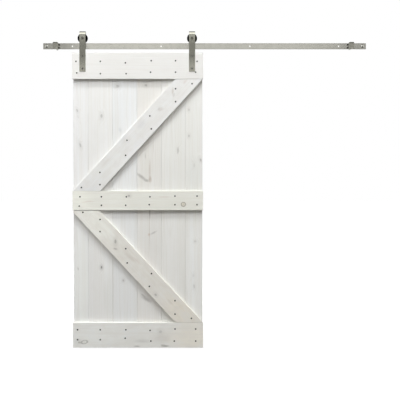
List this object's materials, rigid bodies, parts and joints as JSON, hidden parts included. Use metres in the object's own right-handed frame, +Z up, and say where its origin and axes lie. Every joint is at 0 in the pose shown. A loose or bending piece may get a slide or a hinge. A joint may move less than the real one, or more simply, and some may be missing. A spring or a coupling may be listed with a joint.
{
  "type": "sliding barn door",
  "caption": "Ledged and braced sliding barn door of vertical planks, hung by bent straps and grooved wheels on a flat-bar wall track with rubber end stops.",
  "frame": {"origin": "on the wall plane, in the middle of the row of wall holes", "axes": "+X to the right along the track seen from the front, +Y into the wall, +Z up; the door's front faces -Y"},
  "size_m": [2.255, 0.0644, 2.2165],
  "materials": {
    "plank_wood": "whitewashed knotty pine, matt",
    "board_wood": "whitewashed knotty pine, matt",
    "nail_steel": "dark, satin",
    "track_steel": "satin nickel",
    "strap_steel": "satin nickel",
    "fastener_steel": "satin nickel",
    "bearing_steel": "bright",
    "wheel_plastic": "satin black",
    "bumper_rubber": "matt black"
  },
  "bodies": {
    "track": {"track_bar": "track_steel", "track_standoffs": "track_steel", "track_end_bolts": "fastener_steel", "track_end_nuts": "fastener_steel", "left_stop_block": "track_steel", "left_stop_bumpers": "bumper_rubber", "left_stop_screw": "fastener_steel", "right_stop_block": "track_steel", "right_stop_bumpers": "bumper_rubber", "right_stop_screw": "fastener_steel"},
    "door": {"plank_1": "plank_wood", "plank_2": "plank_wood", "plank_3": "plank_wood", "plank_4": "plank_wood", "plank_5": "plank_wood", "plank_6": "plank_wood", "top_rail": "board_wood", "mid_rail": "board_wood", "bottom_rail": "board_wood", "upper_brace": "board_wood", "lower_brace": "board_wood", "top_rail_nails": "nail_steel", "mid_rail_nails": "nail_steel", "bottom_rail_nails": "nail_steel", "upper_brace_nails": "nail_steel", "lower_brace_nails": "nail_steel", "left_hanger_strap": "strap_steel", "left_hanger_bolts": "fastener_steel", "left_hanger_washers": "fastener_steel", "left_hanger_nuts": "fastener_steel", "left_axle_bolt": "fastener_steel", "left_axle_washer": "fastener_steel", "left_axle_nut": "fastener_steel", "left_axle_spacers": "bearing_steel", "left_bearing_inner_ring": "bearing_steel", "right_hanger_strap": "strap_steel", "right_hanger_bolts": "fastener_steel", "right_hanger_washers": "fastener_steel", "right_hanger_nuts": "fastener_steel", "right_axle_bolt": "fastener_steel", "right_axle_washer": "fastener_steel", "right_axle_nut": "fastener_steel", "right_axle_spacers": "bearing_steel", "right_bearing_inner_ring": "bearing_steel"},
    "left_wheel": {"left_wheel": "wheel_plastic", "left_bearing_outer_ring": "bearing_steel", "left_bearing_balls": "bearing_steel", "left_bearing_shields": "bearing_steel"},
    "right_wheel": {"right_wheel": "wheel_plastic", "right_bearing_outer_ring": "bearing_steel", "right_bearing_balls": "bearing_steel", "right_bearing_shields": "bearing_steel"}
  },
  "joints": [
    {"name": "door_slide", "type": "slide", "parent": "track", "child": "door", "axis": [1, 0, 0], "range_m": [-0.1377, 1.0607]},
    {"name": "left_wheel_spin", "type": "hinge", "parent": "door", "child": "left_wheel", "pos_m": [-0.858, -0.038, 0.0545], "axis": [0, 1, 0], "continuous": true},
    {"name": "right_wheel_spin", "type": "hinge", "parent": "door", "child": "right_wheel", "pos_m": [-0.094, -0.038, 0.0545], "axis": [0, 1, 0], "continuous": true}
  ],
  "couplings": [
    {"joint": "left_wheel_spin", "follows": "door_slide", "rad_per_m": 30.12},
    {"joint": "right_wheel_spin", "follows": "door_slide", "rad_per_m": 30.12}
  ]
}
